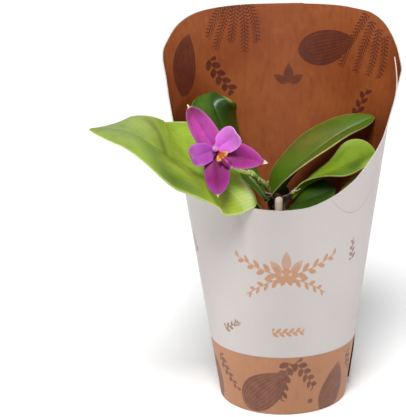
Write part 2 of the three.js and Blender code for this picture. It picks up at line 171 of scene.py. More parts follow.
def ease(x, low, high):
    """0 below low, 1 above high and smooth between."""
    t = np.clip((x - low) / (high - low), 0, 1)
    return t * t * (3 - 2 * t)


def piece_of(name, points, faces, uv=None, kinds=None, sharp=40):
    """An object of points in millimetres, smooth but for edges sharper than sharp degrees."""
    mesh = bpy.data.meshes.new(name)
    corners = [tuple(int(i) for i in face) for face in faces]
    mesh.from_pydata((np.asarray(points, float) * MM).tolist(), [], corners)
    if uv is not None:
        point_of = np.empty(len(mesh.loops), int)
        mesh.loops.foreach_get("vertex_index", point_of)
        spread = np.asarray(uv, np.float32)[point_of].ravel()
        mesh.uv_layers.new(name="UVMap").data.foreach_set("uv", spread)
    if kinds is not None:
        mesh.polygons.foreach_set("material_index", np.asarray(kinds, int))
    mesh.polygons.foreach_set("use_smooth", np.ones(len(mesh.polygons), bool))
    mesh.set_sharp_from_angle(angle=math.radians(sharp))
    mesh.update()
    piece = bpy.data.objects.new(name, mesh)
    bpy.context.scene.collection.objects.link(piece)
    return piece


def sheet_piece(name, middle, thickness, uv, sharp=40):
    """A closed sheet from a grid of points, half its thickness to each side of them.
    Its faces are of three kinds: 0 the upper or outer face, 1 the other, 2 the edge."""
    rows, columns = middle.shape[:2]
    normal = np.cross(np.gradient(middle, axis=1), np.gradient(middle, axis=0))
    normal /= np.linalg.norm(normal, axis=2, keepdims=True)
    offset = normal * (np.broadcast_to(thickness, (rows, columns)) / 2)[..., None]
    points = np.concatenate([(middle + offset).reshape(-1, 3), (middle - offset).reshape(-1, 3)])
    grid = np.arange(rows * columns).reshape(rows, columns)
    quad = np.stack([grid[:-1, :-1], grid[:-1, 1:], grid[1:, 1:], grid[1:, :-1]], -1).reshape(-1, 4)
    back = rows * columns
    rim = np.concatenate([grid[0, :], grid[1:, -1], grid[-1, -2::-1], grid[-2:0:-1, 0]])
    ahead = np.roll(rim, -1)
    edge = np.stack([rim, rim + back, ahead + back, ahead], -1)
    faces = np.concatenate([quad, quad[:, ::-1] + back, edge])
    kinds = np.repeat([0, 1, 2], [len(quad), len(quad), len(edge)])
    flat = np.asarray(uv, float).reshape(-1, 2)
    return piece_of(name, points, faces, np.concatenate([flat, flat]), kinds, sharp)


def rim_height(angle, travelled):
    if travelled < 45:
        return through(inner_end_heights, angle)
    if SHEET_TURN - travelled < 70:
        return through(outer_end_heights, angle)
    return through(rim_heights, abs(angle))


def sleeve_sheet():
    travelled = np.linspace(0, SHEET_TURN, 367)
    shares = np.linspace(0, 1, 90)
    middle = np.empty((len(travelled), len(shares), 3))
    uv = np.empty((len(travelled), len(shares), 2))
    for i, gone in enumerate(travelled):
        angle = SHEET_START - gone
        wrapped = (angle + 540) % 360 - 180
        to_lap = SHEET_TURN - gone
        # The outer end stands off the inner one, and its foot is cut a little higher.
        lapping = ease(36 - to_lap, 0, 22)
        foot = 6 * ease(12 - to_lap, 0, 12)
        z = foot + (rim_height(wrapped, gone) - foot) * shares
        high = z / rim_heights[-1][1]
        loose = 2.3 * (1 - ease(z, 28, 56)) + 2.7 * ease(z, 206, 236)
        # The lapped edge flares at the top, the left side is creased and the front has a soft dent.
        beyond = max(abs(wrapped - 92) - 14, 0)
        flare = 2.7 * ease(z, 196, 222) * math.exp(-((beyond / 16) ** 2))
        crease = 2.2 * high ** 2 * math.exp(-(((wrapped - CREASE_ANGLE) / 8) ** 2))
        fold = -0.5 * high ** 2 * math.exp(-(((wrapped - CREASE_ANGLE - 9) / 2.2) ** 2))
        dent = -0.45 * math.exp(-(((wrapped + 22) / 3.2) ** 2)) * ease(z, 70, 150)
        bent = flare + crease + fold + dent
        radius = FOOT_RADIUS + WIDENS * z - BOARD / 2 + lapping * (1.25 + loose) + bent
        a = math.radians(angle)
        middle[i] = np.stack([math.sin(a) * radius, -math.cos(a) * radius, z], -1)
        uv[i] = np.stack([np.full_like(z, gone / SHEET_TURN), z / SHEET_TALL], -1)
    return sheet_piece("printed_sleeve", middle, BOARD, uv, 50)


def coat(piece, *paints):
    """Gives a piece its paints, one for each kind of face."""
    for paint in paints:
        piece.data.materials.append(paint)


def linear(code):
    """The colour of a #rrggbb code as light values."""
    values = [int(code[i:i + 2], 16) / 255 for i in (1, 3, 5)]
    return (*[v / 12.92 if v <= 0.04045 else ((v + 0.055) / 1.055) ** 2.4 for v in values], 1.0)


class Tone:
    """A socket in a material, with sums written as plain arithmetic."""

    def __init__(self, nodes, socket):
        self.nodes = nodes
        self.socket = socket

    def sum(self, operation, *others):
        """One Math node on this and other values."""
        values = dict(enumerate([self, *others]))
        return self.nodes.node("ShaderNodeMath", {"operation": operation}, values)

    def __add__(self, other):
        return self.sum("ADD", other)

    def __sub__(self, other):
        return self.sum("SUBTRACT", other)

    def __mul__(self, other):
        return self.sum("MULTIPLY", other)

    def __truediv__(self, other):
        return self.sum("DIVIDE", other)

    def __mod__(self, other):
        return self.sum("FLOORED_MODULO", other)

    def __pow__(self, other):
        return self.sum("POWER", other)

    def __rsub__(self, other):
        return self.nodes.node("ShaderNodeMath", {"operation": "SUBTRACT"}, {0: other, 1: self})

    def __abs__(self):
        return self.sum("ABSOLUTE")

    __radd__, __rmul__ = __add__, __mul__

    def clamped(self):
        return self.nodes.node("ShaderNodeClamp", {}, {"Value": self})

    def above(self, low, high):
        """0 where this is under low, 1 over high, smooth between."""
        sockets = {"Value": self, "From Min": low, "From Max": high}
        return self.nodes.node("ShaderNodeMapRange", {"interpolation_type": "SMOOTHSTEP"}, sockets)

    def bell(self, middle, width):
        """1 where this is at middle, falling smoothly to 0 at width either side."""
        return 1 - abs((self - middle) / width).above(0.0, 1.0)


class Nodes:
    """A node tree and short ways to add to it."""

    def __init__(self, tree):
        self.tree = tree

    def node(self, kind, settings, sockets, out=0):
        made = self.tree.nodes.new(kind)
        for name, value in settings.items():
            setattr(made, name, value)
        for name, value in sockets.items():
            if isinstance(value, Tone):
                self.tree.links.new(value.socket, made.inputs[name])
            else:
                made.inputs[name].default_value = value
        return Tone(self, made.outputs[out])

    def place(self):
        return self.node("ShaderNodeTexCoord", {}, {}, "Object")

    def uv(self):
        both = self.node("ShaderNodeUVMap", {"uv_map": "UVMap"}, {})
        return [self.node("ShaderNodeSeparateXYZ", {}, {0: both}, i) for i in (0, 1)]

    def vector(self, x, y, z=0.0):
        return self.node("ShaderNodeCombineXYZ", {}, {0: x, 1: y, 2: z})

    def noise(self, scale, detail=3.0, vector=None, roughness=0.5):
        vector = vector or self.place()
        sockets = {"Scale": scale, "Detail": detail, "Roughness": roughness, "Vector": vector}
        return self.node("ShaderNodeTexNoise", {}, sockets)

    def stretched(self, vector, scale):
        return self.node("ShaderNodeMapping", {}, {"Vector": vector, "Scale": scale})

    def mix(self, share, first, second):
        """first where share is 0, second where it is 1."""
        first, second = (linear(c) if isinstance(c, str) else c for c in (first, second))
        return self.node("ShaderNodeMix", {"data_type": "RGBA"}, {0: share, 6: first, 7: second}, 2)

    def bump(self, height, strength, distance, under=None):
        sockets = {"Height": height, "Strength": strength, "Distance": distance}
        if under is not None:
            sockets["Normal"] = under
        return self.node("ShaderNodeBump", {}, sockets)


class Recipe(Nodes):
    """One material: its surface shader, and the nodes that feed it."""

    def __init__(self, name):
        self.material = bpy.data.materials.new(name)
        self.material.use_nodes = True
        super().__init__(self.material.node_tree)
        self.surface = self.tree.nodes["Principled BSDF"]

    def finish(self, colour=None, roughness=None, normal=None, **plain):
        """Joins what varies to the surface, and sets what is the same all over."""
        for name, tone in (("Base Color", colour), ("Roughness", roughness), ("Normal", normal)):
            if isinstance(tone, Tone):
                self.tree.links.new(tone.socket, self.surface.inputs[name])
            elif tone is not None:
                self.surface.inputs[name].default_value = tone
        for name, value in plain.items():
            self.surface.inputs[name.replace("_", " ").title().replace("Ior", "IOR")].default_value = value
        return self.material


def motif(name, inputs, draw):
    """A group of nodes that draws one kind of ink shape: 1 in the ink and 0 beside it."""
    tree = bpy.data.node_groups.new(name, "ShaderNodeTree")
    for label in inputs:
        tree.interface.new_socket(label, in_out="INPUT", socket_type="NodeSocketFloat")
    tree.interface.new_socket("Ink", in_out="OUTPUT", socket_type="NodeSocketFloat")
    given = tree.nodes.new("NodeGroupInput")
    nodes = Nodes(tree)
    ink = draw(*[Tone(nodes, given.outputs[label]) for label in inputs])
    tree.links.new(ink.socket, tree.nodes.new("NodeGroupOutput").inputs[0])
    return tree


def draw_leaf(across, up, cosine, sine, length, width, bend):
    """An egg-shaped leaf, its veins left open and meeting at both ends."""
    gone = across * cosine + up * sine
    share = (gone / length).clamped()
    beside = up * cosine - across * sine - share * (1 - share) * bend
    half = share ** 0.62 * (1 - share) ** 0.92 * width * 1.36
    body = ((half - abs(beside)) / 0.35).clamped()
    spread = half + 0.1
    line = abs((beside / spread * 5 + 0.5).sum("FRACT") - 0.5) * spread / 5
    return body * (1 - (1 - line.above(0.04, 0.26)) * 0.42)


def draw_spray(across, up, cosine, sine, length, pitch, leaf, width, lean, bend, taper):
    """A stem with small leaves to both sides in turn, smaller towards its tip."""
    gone = across * cosine + up * sine
    share = (gone / length).clamped()
    beside = up * cosine - across * sine - share * share * bend
    small = 1 - share * taper
    step = (gone / pitch + beside.sum("GREATER_THAN", 0.0) * 0.5).sum("FRACT") * pitch / small
    out = abs(beside) / small
    ahead, aside = lean.sum("COSINE"), lean.sum("SINE")
    along_leaf = ((step * ahead + out * aside) / leaf).clamped()
    from_rib = abs(out * ahead - step * aside)
    leaves = (((along_leaf * (1 - along_leaf) * 4) ** 0.7 * width * 0.5 - from_rib) / 0.3).clamped()
    stem = 1 - abs(beside).above(0.22, 0.55)
    within = gone.above(-0.2, 0.2) * (1 - gone.above(length - 0.2, length + 0.2))
    return leaves.sum("MAXIMUM", stem) * within


def draw_dot(across, up, radius):
    distance = (across * across + up * up) ** 0.5
    return 1 - distance.above(radius - 0.35, radius + 0.35)


PLACED = ("Across", "Up")
motifs = {
    "leaf": (*PLACED, "Cosine", "Sine", "Length", "Width", "Bend"),
    "spray": (*PLACED, "Cosine", "Sine", "Length", "Pitch", "Leaf", "Leaf width", "Lean", "Bend", "Taper"),
    "dot": (*PLACED, "Radius"),
}
drawn = {"leaf": draw_leaf, "spray": draw_spray, "dot": draw_dot}
stamps = {kind: motif(kind + "_motif", inputs, drawn[kind]) for kind, inputs in motifs.items()}


class Print:
    """Ink on the board: each shape starts at an angle round the sleeve and a height in millimetres."""

    def __init__(self, nodes, angle, height, inside=False):
        self.nodes, self.angle, self.height = nodes, angle, height
        self.hand = -1 if inside else 1

    def stamp(self, kind, at, *sizes):
        reach = math.radians(1) * (FOOT_RADIUS + WIDENS * at[1]) * self.hand
        values = [(self.angle - at[0]) * reach, self.height - at[1], *sizes]
        sockets = dict(zip(motifs[kind], values))
        return self.nodes.node("ShaderNodeGroup", {"node_tree": stamps[kind]}, sockets)

    def leaf(self, at, turn, length, width, bend=0.0):
        turned = math.radians(turn)
        return self.stamp("leaf", at, math.cos(turned), math.sin(turned), length, width, bend)

    def spray(self, at, turn, length, pitch, leaf, width, lean=45, bend=0.0, taper=0.5):
        turned, leaning = math.radians(turn), math.radians(lean)
        sizes = (length, pitch, leaf, width, leaning, bend, taper)
        return self.stamp("spray", at, math.cos(turned), math.sin(turned), *sizes)

    def dot(self, at, radius):
        return self.stamp("dot", at, radius)


def most(tones):
    """The greatest of several inks at each spot."""
    total = tones[0]
    for tone in tones[1:]:
        total = total.sum("MAXIMUM", tone)
    return total


WHITE_LIGHT, WHITE_DEEP = "#b1aaa8", "#aca5a3"
FOOT_LIGHT, FOOT_DEEP, FOOT_FLECK = "#a06f50", "#946648", "#7c533c"
# The grey third colour tints the fibres and is the painted shade in the pressed arc.
INK_FRONT, INK_SPRIG, FIBRE_GREY_AND_ARC_SHADE, INK_FOOT = "#a87a5a", "#7c5b48", "#857a72", "#5c3429"
KRAFT_DEEP, KRAFT_LIGHT, KRAFT_FIBRE, KRAFT_SCUFF = "#854019", "#965024", "#622c12", "#ab673b"
INK_INSIDE = "#4c1c12"
# The print goes round the sleeve three times, in steps of this many degrees.
REPEAT = SHEET_TURN / 3


def board_outside():
    """Front: a wreath mirrored about the middle; round it, sprigs; below, the foot band's own print."""
    r = Recipe("board_outside")
    u, v = r.uv()
    angle, height = SHEET_START - u * SHEET_TURN, v * SHEET_TALL
    fibre = r.noise(420, 4)
    cloud = r.noise(14, 2)
    mirrored = Print(r, abs(angle - 3), height)
    single = Print(r, angle, height)
    around = Print(r, (angle + REPEAT * 2.5) % REPEAT - REPEAT / 2, height)
    front = [
        mirrored.spray((0, 107), 12, 37, 7.6, 9.4, 4.6, 42, 7),
        mirrored.spray((0, 107), -16, 31, 6.8, 8.2, 4.0, 44, -6),
        mirrored.leaf((3.2, 109.5), 52, 12, 6.2),
        single.leaf((3, 111), 90, 15, 7.0),
        single.dot((3, 106.5), 2.4),
        single.spray((-7, 64.5), 2, 22, 4.6, 5.4, 2.6, 40, 0, 0.15),
    ]
    sprigs = [
        around.spray((-46, 62), 24, 15, 4.6, 5.6, 3.0, 40, 3),
        around.leaf((-35, 66.5), 40, 6, 3.4),
        around.spray((51, 113), 108, 15, 4.8, 5.6, 3.0, 40, -3),
        single.spray((-140, 96), 74, 62, 8.4, 10.0, 5.4, 42, 9),
        single.leaf((-186, 120), 60, 50, 30, 6),
    ]
    band = [
        around.leaf((-34, 3), 44, 44, 27, 5),
        around.spray((5, 41), 250, 30, 6.5, 8.2, 5.0, 44, 5, 0.3),
        around.spray((10, 41), -46, 26, 6.2, 7.6, 4.6, 46, -5, 0.3),
        around.leaf((40, -4), 78, 40, 22, -5),
        around.dot((24, 9), 1.9),
        around.spray((-60, 38), -62, 30, 6.0, 7.0, 4.2, 44, 5),
    ]
    ragged = (r.noise(200, 4, None, 0.65) * 1.5 - 0.05).clamped()
    white = r.mix(cloud.above(0.3, 0.7), WHITE_LIGHT, WHITE_DEEP)
    white = r.mix(most(front) * (0.78 + ragged * 0.22), white, INK_FRONT)
    white = r.mix(most(sprigs) * (0.5 + ragged * 0.5), white, INK_SPRIG)
    # A faint pressed arc to the right of the front, painted grey as the shade in the pressed line
    arc = (((angle - 46) * 1.15) ** 2.0 * 0.032 + 147.6 - height) / 1.2
    pressed_arc_shade = arc.bell(0.0, 0.55) * angle.above(27, 29) * (1 - angle.above(62, 65))
    white = r.mix(pressed_arc_shade * 0.5, white, FIBRE_GREY_AND_ARC_SHADE)
    foot = r.mix(cloud.above(0.25, 0.75), FOOT_LIGHT, FOOT_DEEP)
    foot = r.mix(r.noise(170, 4).above(0.45, 0.75) * 0.25, foot, FOOT_FLECK)
    foot = r.mix(most(band) * (0.55 + ragged * 0.45), foot, INK_FOOT)
    seam = height.above(BAND_TOP - 0.3, BAND_TOP + 0.3)
    colour = r.mix(seam, foot, white)
    colour = r.mix(height.bell(BAND_TOP, 0.9) * 0.35, colour, INK_FOOT)
    colour = r.mix((fibre - 0.35).clamped() * 0.12, colour, FIBRE_GREY_AND_ARC_SHADE)
    rough = 0.46 + cloud * 0.12
    normal = r.bump(fibre, 0.08, 0.0004, r.bump(cloud, 0.25, 0.004))
    return r.finish(colour, rough, normal, specular_ior_level=0.35)


def board_inside():
    """Worn red-brown kraft, with large leaves and fronds in darker ink."""
    r = Recipe("board_inside")
    u, v = r.uv()
    angle, height = SHEET_START - u * SHEET_TURN, v * SHEET_TALL
    fibre = r.noise(300, 4, r.stretched(r.place(), (1, 1, 0.3)))
    cloud = r.noise(24, 4)
    scuff = r.noise(120, 5, None, 0.7)
    single = Print(r, angle, height, True)
    mirrored = Print(r, abs(angle + 185), height, True)
    fronds = [((-152 - 3 * i, 276), 222 + 18 * i, 30 + 7 * (i % 2), 52, 5 - 3 * i) for i in range(5)]
    for i in range(4):
        fronds.append(((-229 - 4 * i, 268 - 5 * i), 236 + 16 * i, 44 - 5 * i, 50, 5 - 4 * i))
    dark = [
        single.leaf((-113, 214), 66, 47, 29, 6),
        single.leaf((-190, 238), 14, 48, 27, -5),
        *[single.spray(*frond[:3], 2.6, 9, 1.8, *frond[3:]) for frond in fronds],
        single.spray((-139, 236), 296, 32, 7.2, 8.8, 5.6, 44, 6, 0.2),
        single.spray((-228, 184), 82, 32, 7.0, 8.8, 5.0, 44, -5, 0.3),
        mirrored.leaf((1, 215), 146, 12, 6.5),
        single.leaf((-185, 215), 90, 15, 8),
        single.leaf((-84, 178), 76, 46, 22, 3),
        single.leaf((34, 74), 100, 50, 24, 5),
    ]
    ragged = (r.noise(150, 5, None, 0.7) * 1.8 - 0.15).clamped()
    base = r.mix(cloud.above(0.3, 0.72), KRAFT_DEEP, KRAFT_LIGHT)
    base = r.mix(fibre.above(0.4, 0.75) * 0.3, base, KRAFT_FIBRE)
    base = r.mix(scuff.above(0.52, 0.8) * 0.35, base, KRAFT_SCUFF)
    colour = r.mix(most(dark) * (0.55 + ragged * 0.4), base, INK_INSIDE)
    rough = 0.5 + cloud * 0.14
    normal = r.bump(fibre, 0.12, 0.0004, r.bump(cloud, 0.2, 0.003))
    return r.finish(colour, rough, normal, specular_ior_level=0.3)


def board_edge():
    r = Recipe("board_edge")
    layers = r.noise(900, 2, r.stretched(r.place(), (1, 1, 0.2)))
    return r.finish(r.mix(layers, "#d2cbc5", "#a99b8f"), 0.8)


sleeve = sleeve_sheet()
coat(sleeve, board_outside(), board_inside(), board_edge())
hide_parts("sleeve")
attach(sleeve, "root")

# Nursery pot: thin clear polypropylene, vacuum-formed with a turned-out rim, standing on its
# flat floor inside the sleeve. Slots in the floor and the foot of its wall drain it.


def pot_plastic():
    r = Recipe("pot_plastic")
    haze = r.noise(60, 3)
    colour = r.mix(haze, "#dfe5e3", "#c9d2cf")
    return r.finish(colour, 0.16 + haze * 0.2, r.bump(haze, 0.15, 0.001), alpha=0.34, coat_weight=0.3)


nursery_pot = frame["nodes"]["nursery_pot"]
nursery_pot.data.materials.clear()
coat(nursery_pot, pot_plastic())

# Potting bark: medium chips of pine bark that fill the pot and mound up round the stem.
# The bed is one body with chips standing out of it, and loose smaller chips lie on its top.


def bark_paint(name, dark, light):
    r = Recipe(name)
    place = r.place()
    plates = r.node("ShaderNodeTexVoronoi", {"feature": "F1"}, {"Scale": 160.0, "Vector": place})
    grain = r.noise(420, 5, r.stretched(place, (1, 0.35, 1)), 0.65)
    patch = r.noise(70, 3)
    colour = r.mix(patch.above(0.35, 0.65), dark, light)
    colour = r.mix(grain.above(0.35, 0.7) * 0.6, colour, "#2a1a12")
    colour = r.mix(plates.above(0.35, 0.6) * 0.35, colour, "#a07c5c")
    return r.finish(colour, 0.9, r.bump(grain, 0.7, 0.0012, r.bump(plates, 0.5, 0.001)))


bark_bed = frame["nodes"]["potting_bark"]
bark_bed.data.materials.clear()
coat(bark_bed, bark_paint("bark_bed_paint", "#4a3020", "#6b472f"))


def chip_shape(name, seed, length, width, height):
    """One rough chip: a bent slab with broken corners."""
    draw = np.random.default_rng(seed)
    rings, sides = 5, 6
    points, faces = [], []
    for i in range(rings):
        x = length * (i / (rings - 1) - 0.5)
        size = 0.55 + 0.45 * math.sin(math.pi * (i + 0.6) / rings)
        for j in range(sides):
            a = 2 * math.pi * (j + 0.5) / sides
            wobble = 1 + draw.uniform(-0.16, 0.16)
            points.append((
                x + draw.uniform(-0.5, 0.5),
                math.cos(a) * width / 2 * size * wobble,
                math.sin(a) * height / 2 * size * wobble + 0.04 * x * x / length * 4,
            ))
    for i in range(rings - 1):
        for j in range(sides):
            k = (j + 1) % sides
            faces.append((i * sides + j, i * sides + k, (i + 1) * sides + k, (i + 1) * sides + j))
    faces.append(tuple(range(sides))[::-1])
    faces.append(tuple((rings - 1) * sides + j for j in range(sides)))
    return piece_of(name, points, faces, sharp=20)


# The middle of the stem, round which the bark mounds up
STEM_X, STEM_Y = -0.8, -0.5


def loose_chips():
    """Geometry nodes scatter chips over a low mound inside the pot, clear of the stem and wall."""
    rings = [(13.5, 116.0), (24, 112.5), (36, 108.0), (46, 104.5), (50.5, 103.2)]
    sides = 40
    points, faces = [], []
    for radius, z in rings:
        for j in range(sides):
            a = 2 * math.pi * j / sides
            points.append((math.cos(a) * radius + STEM_X, math.sin(a) * radius + STEM_Y, z))
    for i in range(len(rings) - 1):
        for j in range(sides):
            k = (j + 1) % sides
            faces.append((i * sides + j, (i + 1) * sides + j, (i + 1) * sides + k, i * sides + k))
    mound = piece_of("loose_bark_chips", points, faces)
    kinds = bpy.data.collections.new("chip_kinds")
    bpy.context.scene.collection.children.link(kinds)
    # Length, width and height of each kind of chip
    chip_sizes = [(9, 5.5, 2.6), (7, 5, 2.2), (12, 6, 3.0), (6, 4, 2.4)]
    for i, size in enumerate(chip_sizes):
        chip = chip_shape(f"chip_{i}", 20 + i, *size)
        bpy.context.scene.collection.objects.unlink(chip)
        kinds.objects.link(chip)
    tree = bpy.data.node_groups.new("scatter_chips", "GeometryNodeTree")
    chip_inputs = {
        "Chip kinds": ("Collection", kinds),
        "Chips per square metre": ("Float", 60000.0),
        "Smallest": ("Float", 0.55),
        "Largest": ("Float", 1.15),
        "Paint": ("Material", bark_paint("bark_chip_paint", "#5a3a26", "#835b3e")),
    }
    tree.interface.new_socket("Geometry", in_out="INPUT", socket_type="NodeSocketGeometry")
    identifiers = {}
    for label, (kind, _) in chip_inputs.items():
        socket = tree.interface.new_socket(label, in_out="INPUT", socket_type="NodeSocket" + kind)
        identifiers[label] = socket.identifier
    tree.interface.new_socket("Geometry", in_out="OUTPUT", socket_type="NodeSocketGeometry")
    add, join = tree.nodes.new, tree.links.new
    given, made = add("NodeGroupInput"), add("NodeGroupOutput")
    scatter = add("GeometryNodeDistributePointsOnFaces")
    scatter.distribute_method = "POISSON"
    scatter.inputs["Distance Min"].default_value = 0.0042
    scatter.inputs["Seed"].default_value = 5
    join(given.outputs["Geometry"], scatter.inputs["Mesh"])
    join(given.outputs["Chips per square metre"], scatter.inputs["Density Max"])
    picked = add("GeometryNodeCollectionInfo")
    picked.inputs["Separate Children"].default_value = True
    picked.inputs["Reset Children"].default_value = True
    join(given.outputs["Chip kinds"], picked.inputs["Collection"])
    size, turned = add("FunctionNodeRandomValue"), add("FunctionNodeRandomValue")
    size.data_type, turned.data_type = "FLOAT", "FLOAT_VECTOR"
    size.inputs["Seed"].default_value, turned.inputs["Seed"].default_value = 3, 9
    join(given.outputs["Smallest"], size.inputs[2])
    join(given.outputs["Largest"], size.inputs[3])
    turned.inputs[0].default_value = (-0.5, -0.5, 0.0)
    turned.inputs[1].default_value = (0.5, 0.5, 6.28)
    put = add("GeometryNodeInstanceOnPoints")
    put.inputs["Pick Instance"].default_value = True
    join(scatter.outputs["Points"], put.inputs["Points"])
    join(picked.outputs[0], put.inputs["Instance"])
    join(size.outputs[1], put.inputs["Scale"])
    join(turned.outputs[0], put.inputs["Rotation"])
    real, painted = add("GeometryNodeRealizeInstances"), add("GeometryNodeSetMaterial")
    join(put.outputs[0], real.inputs[0])
    join(real.outputs[0], painted.inputs["Geometry"])
    join(given.outputs["Paint"], painted.inputs["Material"])
    join(painted.outputs[0], made.inputs[0])
    work = mound.modifiers.new("scatter", "NODES")
    work.node_group = tree
    for label, (_, value) in chip_inputs.items():
        work[identifiers[label]] = value
    bpy.context.view_layer.update()
    settled = mound.evaluated_get(bpy.context.evaluated_depsgraph_get())
    mesh = bpy.data.meshes.new_from_object(settled)
    mound.modifiers.clear()
    mound.data = mesh
    for chip in list(kinds.objects):
        bpy.data.objects.remove(chip)
    bpy.data.collections.remove(kinds)
    return mound


chips = loose_chips()
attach(chips, "root")

# Leaves: two ranks of broad thin blades, waxy above and paler below, each with a keeled midrib.
# Every blade follows a spine from its clasping base to its tip, and is rolled, folded and waved.


class Spine:
    """A smooth curve through points, with even steps along its length."""

    def __init__(self, points):
        p = np.asarray(points, float)
        self.p = np.concatenate([[2 * p[0] - p[1]], p, [2 * p[-1] - p[-2]]])
        self.u = np.linspace(0, len(p) - 1, 1601)
        steps = np.linalg.norm(np.diff(self.raw(self.u), axis=0), axis=1)
        self.length = np.concatenate([[0], np.cumsum(steps)])

    def raw(self, u):
        i = np.clip(u.astype(int), 0, len(self.p) - 4)
        w = (u - i)[:, None]
        a, b, c, d = (self.p[i + k] for k in range(4))
        return b + w * 0.5 * ((c - a) + w * (2 * a - 5 * b + 4 * c - d + w * (3 * b - a - 3 * c + d)))

    def at(self, t):
        u = np.interp(np.asarray(t, float) * self.length[-1], self.length, self.u)
        low, high = np.clip(u - 1e-3, 0, self.u[-1]), np.clip(u + 1e-3, 0, self.u[-1])
        ahead = self.raw(high) - self.raw(low)
        return self.raw(u), ahead / np.linalg.norm(ahead, axis=1, keepdims=True)


def along(values, t):
    """Values set at even steps, read smoothly at each of t."""
    pairs = [(i / max(len(values) - 1, 1), v) for i, v in enumerate(values)]
    return np.array([through(pairs, x) for x in t])


# The last row of a blade lies just short of the end of its spine
BLADE_END = 0.992


def blade_grid(spine, half_width, widest=0.5, blunt=0.75, base=5, sheath=0.0, neck=0.16, roll=(0,),
               fold=(0,), arch=0.06, wave=None, up=(0, 0, 1), point=0.0, horn=0.0, rows=120, columns=49,
               dimples=(), groove=0.0, tip=0.5):
    """The middle sheet of a blade: points by (station, side), with its width and shape as in life.
    Its half width is base where it starts, opens from sheath to neck and is greatest at widest; a
    horn stands on its end from 1 - point on. roll turns it and fold lifts its halves, in degrees."""
    t = np.linspace(0, BLADE_END, rows)
    v = np.linspace(-1, 1, columns)
    centre, ahead = Spine(spine).at(t)
    up = np.asarray(up, float)
    rise = up - ahead * (ahead @ up)[:, None]
    rise /= np.linalg.norm(rise, axis=1, keepdims=True)
    aside = np.cross(ahead, rise)
    turned = np.radians(along(roll, t))[:, None]
    side = aside * np.cos(turned) + rise * np.sin(turned)
    over = rise * np.cos(turned) - aside * np.sin(turned)
    lift = np.radians(along(fold, t))[:, None, None]
    body = np.clip(t / (1 - point), 0, 1)
    full = np.sin(math.pi * body ** (math.log(0.5) / math.log(widest))) ** blunt * ease(body, sheath, neck)
    least = tip + horn * np.clip((1 - t) / max(point, 0.001), 0, 1)
    width = np.maximum(base * (1 - t) ** 2 + half_width * full, least)[:, None]
    share = np.abs(v)[None, :]
    height = arch * width * 4 * share * (1 - share)
    if wave:
        phase = np.where(v > 0, wave["phase"][0], wave["phase"][1])[None, :]
        ripple = np.sin(2 * math.pi * (wave["count"] * t[:, None] + phase))
        height = height + wave["height"] * share ** 2 * full[:, None] * ripple
    for t0, v0, reach_t, reach_v, rise_by in dimples:
        from_middle = ((t[:, None] - t0) / reach_t) ** 2 + ((v[None, :] - v0) / reach_v) ** 2
        height = height + rise_by * np.exp(-from_middle)
    height = height - groove * np.exp(-(v[None, :] * width / 1.6) ** 2) * ease(1 - t, 0, 0.2)[:, None]
    across = (width * v[None, :])[..., None]
    points = centre[:, None] + side[:, None] * across * np.cos(lift)
    points = points + over[:, None] * ((width * share)[..., None] * np.sin(lift) + height[..., None])
    uv = np.stack(np.broadcast_arrays(t[:, None] / BLADE_END, (v[None, :] + 1) / 2), -1)
    return points, uv, t, share


def blade_piece(name, thick, **shape):
    """A blade as thick as thick[0] along its midrib and thick[1] at its margins, thinner to its tip."""
    points, uv, t, share = blade_grid(**shape)
    thinner = 1 - 0.25 * (t[:, None] / BLADE_END) ** 3
    thickness = (thick[0] + (thick[1] - thick[0]) * share ** 1.5) * thinner
    return sheet_piece(name, points, thickness, uv, 75)


# Dimples are each a place (along, across), a reach both ways and a height.
leaves = {
    "leaf_left_front": dict(
        spine=[(-11, -10, 134.3), (-32.5, -34.4, 172.8), (-54.1, -47, 176.6), (-73, -65, 192),
               (-99, -73, 210), (-124, -68, 211)],
        half_width=41.5, widest=0.45, blunt=0.72, base=2.7, sheath=0.16, neck=0.3,
        roll=(3.1, 35.3, 30.6, -4), fold=(0, 5.7, -2),
        wave=dict(height=1.6, count=3.3, phase=(0.64, 0.76)), tip=1.9, groove=0.7, rows=180, columns=81,
        dimples=((0.66, 0.1, 0.05, 0.7, -1.0), (0.30, -0.6, 0.035, 0.45, 0.9),
                 (0.80, -0.4, 0.07, 0.4, 0.9)),
    ),
    "leaf_left_back": dict(
        spine=[(-10, 3.5, 143), (-23.6, 13.6, 159.2), (-34.6, 20.6, 172.9), (-47.2, 28, 205),
               (-48.9, 40, 215.9)],
        half_width=27.4, widest=0.64, blunt=1, base=4, neck=0.22, roll=(0, -3, -4.7), fold=(14, -3, 8),
        wave=dict(height=0.8, count=3, phase=(0.4, 0.1)), groove=0.6,
    ),
    "leaf_right_back": dict(
        spine=[(-3.4, 10, 132.7), (4.5, 11.4, 154.8), (21.9, 17, 171.3), (45, 24, 187.4), (68, 30, 197.6)],
        half_width=26.1, widest=0.53, blunt=0.7, base=13.3, neck=0.1, roll=(8.9, 5.8, -1.5, -14.6),
        fold=(29.3, 14.9, 14.1, 8),
        wave=dict(height=0.5, count=2.5, phase=(0.3, 0)), groove=0.7,
    ),
    "leaf_right_twisted": dict(
        spine=[(8, -6, 147), (19, -8.5, 158), (34, -13, 166), (49, -18, 175), (65, -25, 183)],
        half_width=18.3, widest=0.7, blunt=0.7, base=4, roll=(15, -3, -27, -47), fold=(26, 18, 12),
        wave=dict(height=0.7, count=2.5, phase=(0, 0.5)), groove=0.5,
    ),
    "leaf_right_low": dict(
        spine=[(6.5, -9.5, 140), (15, -14, 145.5), (26, -17, 151), (38, -20, 157)],
        half_width=15, widest=0.6, blunt=0.65, base=4, roll=(-15, -27, -36), fold=(16, 12, 4), groove=0.5,
    ),
    "leaf_right_lowest": dict(
        spine=[(9, -2, 131), (23, -14.5, 135), (38, -27.5, 151), (55, -32, 170)],
        half_width=13.5, widest=0.5, base=4, roll=(-11, -9, -15), fold=(14, 4, 9), groove=0.5,
    ),
}


